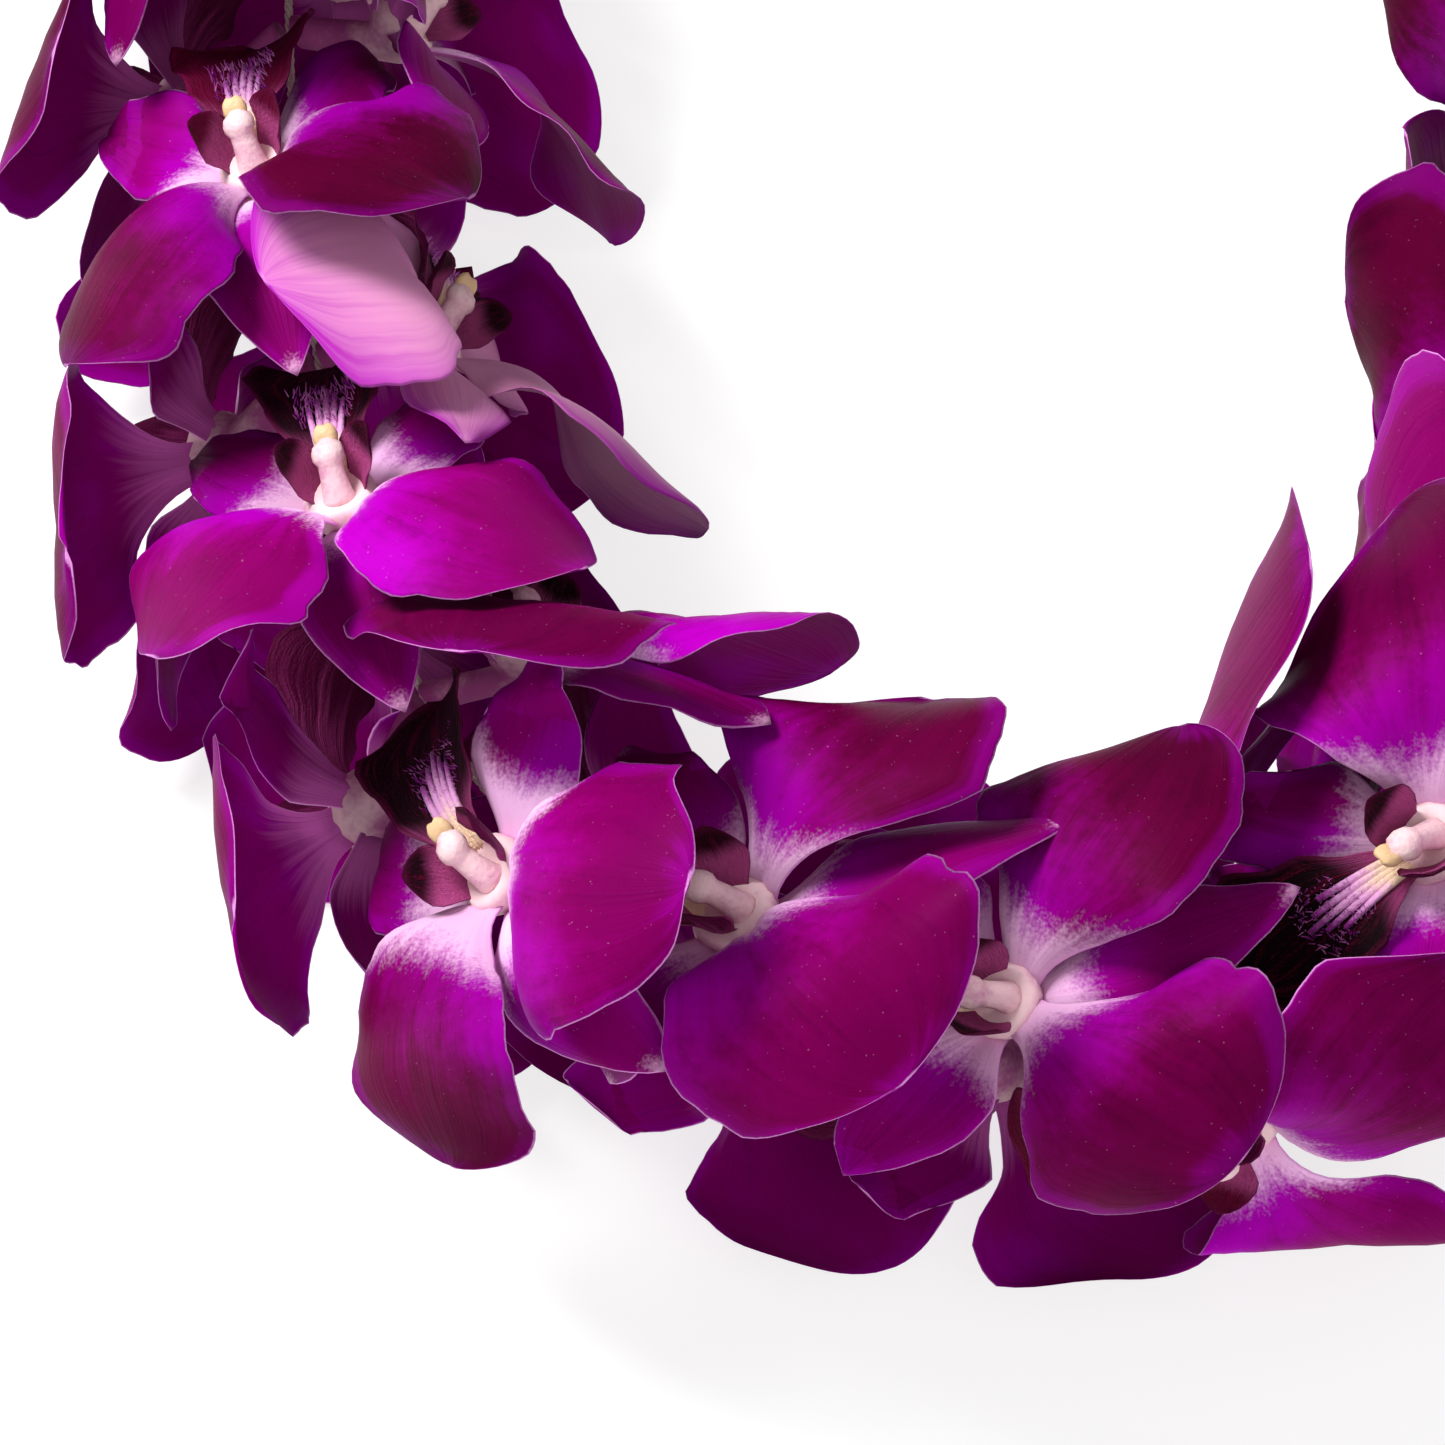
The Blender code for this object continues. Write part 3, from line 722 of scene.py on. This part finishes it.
def uneven_rim(phase, most):
    """An outline that no two petals share: slow swells and small nicks, different on its two sides."""
    def uneven(u, v):
        side = phase + 0.37 * (v > 0)
        slow, small = np.sin(2 * math.pi * (1.3 * u + side)), np.sin(2 * math.pi * (3.7 * u + 2.3 * side))
        nicks = np.sin(2 * math.pi * (8.3 * u + 5.1 * side)) * np.sin(2 * math.pi * (1.9 * u + side))
        return most * (slow + 0.5 * small + 0.3 * nicks) * np.minimum(4 * u, 1)
    return uneven


def add_tepals(parts, bloom, blades, wash=0.0):
    fine = bloom.fine
    for blade in blades["petals"]:
        relief = petal_relief(
            ruffle=0.0004 + 0.0003 * fine.random(), phase=fine.random(), curl=fine.uniform(0.0004, 0.0018),
            roll=fine.uniform(0.0006, 0.0028), tip=fine.uniform(-0.0030, 0.0022),
            fold=fine.uniform(-0.0016, 0.0020))
        rim = uneven_rim(7.1 * bloom.claw + blade.turn, PETAL_SWELL)
        add_blade(parts, bloom, blade, PETAL_GRID, PETAL_THICKNESS, PETAL, relief, fine.random(), wash, rim)
    for blade in blades["sepals"] + [blades["dorsal"]]:
        relief = petal_relief(
            ruffle=0.0002 + 0.0002 * fine.random(), phase=fine.random(), curl=0.0006, roll=0.0009,
            tip=fine.uniform(-0.0026, 0.0012), fold=fine.uniform(-0.0006, 0.0012))
        rim = uneven_rim(9.3 * bloom.claw + blade.turn, SEPAL_SWELL)
        add_blade(parts, bloom, blade, SEPAL_GRID, SEPAL_THICKNESS, SEPAL, relief, fine.random(), wash, rim)


def lip_relief(phase):
    def relief(u, v, w):
        crimp = 0.0007 * np.abs(v) ** 5 * np.sin(2 * math.pi * (4.3 * u + phase + 0.5 * (v > 0)))
        return crimp * np.minimum(u * 3, 1) + 0.00012 * np.cos(v * 20)
    return relief


def add_lip(parts, bloom, blade):
    """The lip's middle lobe, and its two side lobes, which stand up beside the column."""
    fine = bloom.fine
    tone = fine.random()
    add_blade(parts, bloom, blade, LIP_GRID, LIP_THICKNESS, LIP, lip_relief(fine.random()), tone)
    for side in (-1, 1):
        lobe = Blade(
            turn=math.pi + side * deg(66 + 6 * fine.random()), length=0.0088, width=0.0076, rise=deg(58),
            bend=deg(-14), cup=0.35, claw=0.55, widest=0.55, tip=(2.0, 0.6), root=0.0026, wave=0.10,
            phase=fine.random())
        add_blade(parts, bloom, lobe, LOBE_GRID, LOBE_THICKNESS, LIP, tone=tone, wash=0.45)


# This count uses up draws of bloom 32, so its blades get other draws below than its solid's have. One
# petal lies up to 12 mm from the solid's, and the others up to 5 mm.
test = Parts()
add_tepals(test, blooms[32], bloom_blades(blooms[32]))
print("tepals of one bloom:", len(test.faces), "faces")

# %% [markdown]
# ## Column, crest and body
# The column is a short club that leans over the lip, with a rounded anther cap at its end. The crest is
# five keels on the lip, like the fingers of a hand. Column, cap and keels are closed tubes through rings of
# points. So is the body, which runs from the neck, which the string goes through, to the throat.

# %% Tubes and rings
BODY_SIDES, BODY_RADIUS, BODY_DEPTH = 16, 0.0031, 0.0088
NECK_BACK, NECK_HALF, NECK_LIFT = 0.0030, 0.0021, 0.0012
CHIN_BULGE = 0.0013
BODY_RINGS = (  # radius, height and share of the chin's bulge
    (0.0037, -0.0080, 1.0), (0.0043, -0.0070, 0.9), (0.0045, -0.0058, 0.5),
    (0.0044, -0.0046, 0.2), (0.0036, -0.0040, 0.0), (0.0020, -0.0046, 0.0))
CAP_RADIUS, CAP_GROOVE, GROOVE_WIDTH = 0.0015, 0.28, 0.0004
KEELS = (-2, -1, 0, 1, 2)
KEEL_REACH, KEEL_SPACING = 0.60, 0.0035
KEEL_ROOT, KEEL_TAPER, KEEL_LIFT = 0.00060, 0.00030, 0.0004


def ring_faces(rings, sides):
    faces = [list(range(sides))[::-1], list(range((rings - 1) * sides, rings * sides))]
    for r in range(rings - 1):
        for i in range(sides):
            j = (i + 1) % sides
            faces.append([r * sides + i, r * sides + j, (r + 1) * sides + j, (r + 1) * sides + i])
    return faces


def add_loft(parts, rings, finish, **reads):
    """A closed tube through rings of points, one row of the array for each."""
    count, sides = rings.shape[:2]
    for name, values in reads.items():
        reads[name] = np.repeat(values, sides) if np.ndim(values) else values
    parts.add(rings.reshape(-1, 3), ring_faces(count, sides), finish, **reads)


def add_column(parts, bloom, tone):
    share = np.linspace(0, 1, 13)
    turn = np.linspace(0, 2 * math.pi, 14, endpoint=False)
    y = 0.0008 - 0.0010 * share - 0.0036 * share**2
    h = -0.0052 + 0.0060 * share
    radius = 0.0021 - 0.0006 * np.sin(share * math.pi * 0.8) + 0.0004 * (share > 0.7)
    radius = radius * np.sqrt(np.clip(1 - ((share - 0.80) / 0.205) ** 2 * (share > 0.80), 0.02, 1))
    flat = np.where(np.cos(turn) < 0, 0.55, 1.0)
    rings = np.stack([
        radius[:, None] * np.sin(turn),
        y[:, None] + radius[:, None] * np.cos(turn) * flat * 0.85,
        h[:, None] + radius[:, None] * np.cos(turn) * flat * 0.45,
    ])
    add_loft(parts, settled(bloom.place(*rings)), COLUMN, along=share * 0.85, tone=tone)
    add_cap(parts, bloom, tone)


def add_cap(parts, bloom, tone):
    """The anther cap: a small dome with a groove down its middle."""
    lift = np.linspace(-0.98, 0.98, 8)[:, None]
    turn = np.linspace(0, 2 * math.pi, 12, endpoint=False)[None, :]
    round_ = np.sqrt(1 - lift**2)
    x = CAP_RADIUS * round_ * np.sin(turn)
    groove = 1 - CAP_GROOVE * np.exp(-((x / GROOVE_WIDTH) ** 2))
    y = -0.0043 - 0.0013 * lift * groove - 0.0005 * round_ * np.cos(turn)
    h = 0.0005 + 0.0014 * round_ * np.cos(turn) * groove + 0.0004 * lift
    add_loft(parts, settled(bloom.place(x, y, h)), COLUMN, along=1.0, tone=tone)


def add_body(parts, bloom):
    turn = np.linspace(0, 2 * math.pi, BODY_SIDES, endpoint=False)
    x, y = np.sin(turn), np.cos(turn)
    chin = np.maximum(-y, 0) ** 2 * CHIN_BULGE
    at = bloom.station - NECK_BACK + NECK_HALF * y
    neck = around_string(at, bloom.azimuth, NECK_LIFT, NECK_HALF * x)
    under = bloom.place(BODY_RADIUS * x, (BODY_RADIUS + chin) * y, -BODY_DEPTH)
    rings = [neck + (under - neck) * (t + 0.10 * math.sin(2 * math.pi * t)) for t in np.linspace(0, 1, 7)]
    for radius, h, bulge in BODY_RINGS:
        rings.append(bloom.place(radius * x, (radius + chin * bulge) * y, h))
    along = np.linspace(0, 1, len(rings))
    add_loft(parts, settled(np.stack(rings)), BODY, along=along, tone=0.5)


def add_keels(parts, bloom, blade, tone):
    """The five keels of the crest, which fan out over the lip."""
    turn = np.linspace(0, 2 * math.pi, 6, endpoint=False)
    share = np.linspace(0, 1, 12)
    for k in KEELS:
        u = share * (KEEL_REACH - 0.07 * abs(k))
        w = blade.half_width(u)
        v = k * (0.11 + 0.20 * share) * np.minimum(KEEL_SPACING / w, 1.5)
        thick = (KEEL_ROOT - KEEL_TAPER * share**1.5)[:, None]
        rings = blade.points(u[:, None] + 0 * turn, v[:, None] + thick * np.sin(turn) / w[:, None],
                             KEEL_LIFT + thick * (0.2 + np.cos(turn)))
        add_loft(parts, settled(bloom.place(*rings)), CREST, along=share, tone=tone)


test = Parts()
add_body(test, blooms[32])
print("one flower body:", len(test.faces), "faces")

# %% [markdown]
# ## All the pairs
# One piece stands for each packed pair: two blooms, back to back, with six finishes between them.

# %% Make the pairs
WASHED = {(13, 0): 0.85}


def make_pair(pair):
    parts = Parts()
    for bloom in (bloom for bloom in blooms if bloom.pair == pair):
        blades = bloom_blades(bloom)
        tone = bloom.fine.random()
        add_tepals(parts, bloom, blades, WASHED.get((pair, bloom.side), 0.0))
        add_lip(parts, bloom, blades["lip"])
        add_keels(parts, bloom, blades["lip"], tone)
        add_column(parts, bloom, tone)
        add_body(parts, bloom)
    piece = parts.mesh(f"blooms_{pair + 1:02d}", FINISHES)
    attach(piece, "root")
    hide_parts(f"bloom_pair_{pair + 1:02d}")
    return piece


pairs = [make_pair(pair) for pair in range(PAIRS)]
print("pairs:", len(pairs), "with", sum(len(p.data.polygons) for p in pairs), "faces")

# %% [markdown]
# ## The fringe of the crest
# The ends of the keels are frayed into short fine hairs, too many to place one by one. Geometry Nodes strew
# them: points fall at random on a small patch of each lip, and a thin cone stands on each, tilted and sized
# by seeded draws. The tree has named inputs, and its result is made a plain mesh.

# %% Crest fringe
PATCH_POINTS, PATCH_ALONG, PATCH_ACROSS = 5, (0.30, 0.62), (-0.52, 0.52)
FRINGE = {"Density": 3.6e6, "Length": 0.0014, "Seed": 4}
HAIR_ROOT, HAIR_TIP = 0.00010, 0.00002


def nodes_tree(name, inputs):
    """An empty Geometry Nodes tree with a geometry socket each way and the named numbers."""
    tree = bpy.data.node_groups.new(name, "GeometryNodeTree")
    tree.interface.new_socket("Geometry", in_out="INPUT", socket_type="NodeSocketGeometry")
    for label, kind in inputs.items():
        tree.interface.new_socket(label, in_out="INPUT", socket_type=kind)
    tree.interface.new_socket("Geometry", in_out="OUTPUT", socket_type="NodeSocketGeometry")
    return tree, tree.nodes.new("NodeGroupInput"), tree.nodes.new("NodeGroupOutput")


def wired(tree, kind, settings=None, **sockets):
    """Adds a node with its settings and then its sockets, by name, or by number as in _0."""
    node = tree.nodes.new(kind)
    for setting, value in (settings or {}).items():
        setattr(node, setting, value)
    for label, value in sockets.items():
        socket = node.inputs[int(label[1:]) if label[0] == "_" else label.replace("_", " ")]
        if isinstance(value, bpy.types.NodeSocket):
            tree.links.new(value, socket)
        else:
            socket.default_value = value
    return node.outputs[0]


def grown(base, tree, values, name):
    """The plain mesh that a tree makes from an object, whose place is in its points."""
    modifier = base.modifiers.new("grow", "NODES")
    modifier.node_group = tree
    sockets = {item.name: item.identifier for item in tree.interface.items_tree if item.in_out == "INPUT"}
    for label, value in values.items():
        modifier[sockets[label]] = value
    evaluated = base.evaluated_get(bpy.context.evaluated_depsgraph_get())
    mesh = bpy.data.meshes.new_from_object(evaluated)
    base.modifiers.clear()
    bpy.data.objects.remove(base)
    mesh.name = name
    obj = bpy.data.objects.new(name, mesh)
    bpy.context.scene.collection.objects.link(obj)
    return obj


def fringe_tree(material):
    """Fine tapering hairs that stand on the faces of a mesh, each tilted a random way."""
    tree, given, made = nodes_tree("fringe", {
        "Density": "NodeSocketFloat", "Length": "NodeSocketFloat", "Seed": "NodeSocketInt"})
    spread = wired(tree, "GeometryNodeDistributePointsOnFaces", Mesh=given.outputs["Geometry"],
                   Density=given.outputs["Density"], Seed=given.outputs["Seed"])
    upright = spread.node.outputs["Rotation"]
    hair = wired(tree, "GeometryNodeMeshCone", Vertices=3, Radius_Top=HAIR_TIP, Radius_Bottom=HAIR_ROOT,
                 Depth=1.0)
    length = wired(tree, "FunctionNodeRandomValue", {"data_type": "FLOAT"}, _2=0.45, _3=1.0, Seed=3)
    length = length.node.outputs[1]
    reach = wired(tree, "ShaderNodeMath", {"operation": "MULTIPLY"}, _0=length, _1=given.outputs["Length"])
    size = wired(tree, "ShaderNodeCombineXYZ", _0=1.0, _1=1.0, _2=reach)
    tilt = wired(tree, "FunctionNodeRandomValue", {"data_type": "FLOAT_VECTOR"},
                 _0=(-0.5, -0.5, -3.0), _1=(0.5, 0.5, 3.0), Seed=5)
    turned = wired(tree, "FunctionNodeRotateRotation", {"rotation_space": "LOCAL"}, _0=upright, _1=tilt)
    hairs = wired(tree, "GeometryNodeInstanceOnPoints", Points=spread, Instance=hair, Rotation=turned,
                  Scale=size)
    whole = wired(tree, "GeometryNodeRealizeInstances", Geometry=hairs)
    coated = wired(tree, "GeometryNodeSetMaterial", Geometry=whole, Material=material)
    tree.links.new(coated, made.inputs[0])
    return tree


def crest_patches():
    """The part of each lip that the fringe stands on: the ends of its keels."""
    points, faces = [], []
    side = PATCH_POINTS
    for bloom in blooms:
        blade = bloom_blades(Bloom(bloom.pair, bloom.side))["lip"]
        u, v = np.meshgrid(np.linspace(*PATCH_ALONG, side), np.linspace(*PATCH_ACROSS, side), indexing="ij")
        corners = [side**2 * len(points) + side * i + j for i in range(side - 1) for j in range(side - 1)]
        points.append(settled(bloom.place(*blade.points(u, v, KEEL_LIFT))).reshape(-1, 3))
        faces += [(c, c + 1, c + side + 1, c + side) for c in corners]
    mesh = bpy.data.meshes.new("crest_patches")
    mesh.from_pydata(np.concatenate(points).tolist(), [], faces)
    obj = bpy.data.objects.new("crest_patches", mesh)
    bpy.context.scene.collection.objects.link(obj)
    return obj


fringe = grown(crest_patches(), fringe_tree(fringe_hair), FRINGE, "crest_fringe")
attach(fringe, "root")
print("fringe:", len(fringe.data.polygons), "faces")

# %% [markdown]
# ## The string
# Cotton string is three plies laid round each other. Geometry Nodes follow the loop's line with three
# offset copies of it, each turned a third further, and sweep a small circle along them. The number of
# turns is whole, so that each ply meets itself where the loop closes.

# %% String
PLIES, PLY_RADIUS, LAY_RADIUS, LAY_LENGTH = 3, 0.00028, 0.00030, 0.0042
STRING_POINTS = 1100


def string_tree(material):
    tree, given, made = nodes_tree("plies", {
        "Ply radius": "NodeSocketFloat", "Lay radius": "NodeSocketFloat", "Turns": "NodeSocketFloat"})
    math_node = "ShaderNodeMath"
    share = tree.nodes.new("GeometryNodeSplineParameter").outputs["Factor"]
    tangent = wired(tree, "GeometryNodeInputTangent")
    up = wired(tree, "ShaderNodeCombineXYZ", _2=1.0)
    aside = wired(tree, "ShaderNodeVectorMath", {"operation": "CROSS_PRODUCT"}, _0=tangent, _1=up)
    join = tree.nodes.new("GeometryNodeJoinGeometry")
    circle = wired(tree, "GeometryNodeCurvePrimitiveCircle", Resolution=5,
                   Radius=given.outputs["Ply radius"])
    for ply in range(PLIES):
        turns = wired(tree, math_node, {"operation": "MULTIPLY"}, _0=share, _1=given.outputs["Turns"])
        angle = wired(tree, math_node, {"operation": "MULTIPLY_ADD"}, _0=turns, _1=2 * math.pi,
                      _2=ply * 2 * math.pi / PLIES)
        cosine = wired(tree, math_node, {"operation": "COSINE"}, _0=angle)
        sine = wired(tree, math_node, {"operation": "SINE"}, _0=angle)
        sideways = wired(tree, "ShaderNodeVectorMath", {"operation": "SCALE"}, _0=aside, Scale=cosine)
        upwards = wired(tree, "ShaderNodeVectorMath", {"operation": "SCALE"}, _0=up, Scale=sine)
        both = wired(tree, "ShaderNodeVectorMath", {"operation": "ADD"}, _0=sideways, _1=upwards)
        offset = wired(tree, "ShaderNodeVectorMath", {"operation": "SCALE"}, _0=both,
                       Scale=given.outputs["Lay radius"])
        line = wired(tree, "GeometryNodeSetPosition", Geometry=given.outputs["Geometry"], Offset=offset)
        tube = wired(tree, "GeometryNodeCurveToMesh", Curve=line, Profile_Curve=circle)
        tree.links.new(tube, join.inputs[0])
    whole = wired(tree, "GeometryNodeRealizeInstances", Geometry=join.outputs[0])
    smooth = wired(tree, "GeometryNodeSetShadeSmooth", Geometry=whole)
    coated = wired(tree, "GeometryNodeSetMaterial", Geometry=smooth, Material=material)
    tree.links.new(coated, made.inputs[0])
    return tree


def loop_curve(count):
    centre = along_loop(np.arange(count) * AROUND / count)[0]
    data = bpy.data.curves.new("string_line", "CURVE")
    data.dimensions = "3D"
    spline = data.splines.new("POLY")
    spline.points.add(count - 1)
    spline.points.foreach_set("co", np.column_stack([centre, np.ones(count)]).ravel())
    spline.use_cyclic_u = True
    obj = bpy.data.objects.new("string_line", data)
    bpy.context.scene.collection.objects.link(obj)
    return obj


turns = round(AROUND / LAY_LENGTH)
cotton = {"Ply radius": PLY_RADIUS, "Lay radius": LAY_RADIUS, "Turns": float(turns)}
string = grown(loop_curve(STRING_POINTS), string_tree(string_fibre), cotton, "string_plies")
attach(string, "root")
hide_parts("string")
print("string:", len(string.data.polygons), "faces,", turns, "turns")

# %% [markdown]
# ## Floor and light
# The photograph is of a lei on plain white, lit softly from the upper left, with hardly a shadow. The
# floor is a pale sheet that glows a little, so that it comes out white. The light is a soft box on the
# upper left, a weaker and larger one in front, and a bright sky.

# %% Floor and light
FLOOR_REACH, FLOOR_HEIGHT, FLOOR_GLOW = 4, -0.0004, 0.74
FLOOR_CORNERS = ((-1, -1), (1, -1), (1, 1), (-1, 1))
WHITE, FLOOR_GREY = (1, 1, 1, 1), (0.36, 0.36, 0.36, 1.0)


def add_floor():
    mesh = bpy.data.meshes.new("floor")
    corners = [(x * FLOOR_REACH, y * FLOOR_REACH, FLOOR_HEIGHT) for x, y in FLOOR_CORNERS]
    mesh.from_pydata(corners, [], [(0, 1, 2, 3)])
    floor = bpy.data.objects.new("floor", mesh)
    bpy.context.scene.collection.objects.link(floor)
    graph = Graph("white_ground", Specular_IOR_Level=0.0, Emission_Color=WHITE,
                  Emission_Strength=FLOOR_GLOW)
    mesh.materials.append(graph.finish(FLOOR_GREY, 0.9))


def add_light(name, place, size, power):
    light = bpy.data.objects.new(name, bpy.data.lights.new(name, "AREA"))
    light.data.size, light.data.energy = size, power
    light.location = place
    light.rotation_euler = (LOOK_AT - Vector(place)).to_track_quat("-Z", "Y").to_euler()
    bpy.context.scene.collection.objects.link(light)


def add_sky(strength):
    world = bpy.data.worlds.new("sky")
    world.use_nodes = True
    world.node_tree.nodes["Background"].inputs["Color"].default_value = WHITE
    world.node_tree.nodes["Background"].inputs["Strength"].default_value = strength
    bpy.context.scene.world = world


add_floor()
add_light("key", place=(-0.60, 0.25, 0.80), size=0.40, power=14.5)
add_light("fill", place=(0.20, -0.80, 0.60), size=0.8, power=2.5)
add_sky(strength=0.44)
bpy.context.scene.view_settings.view_transform = "Standard"
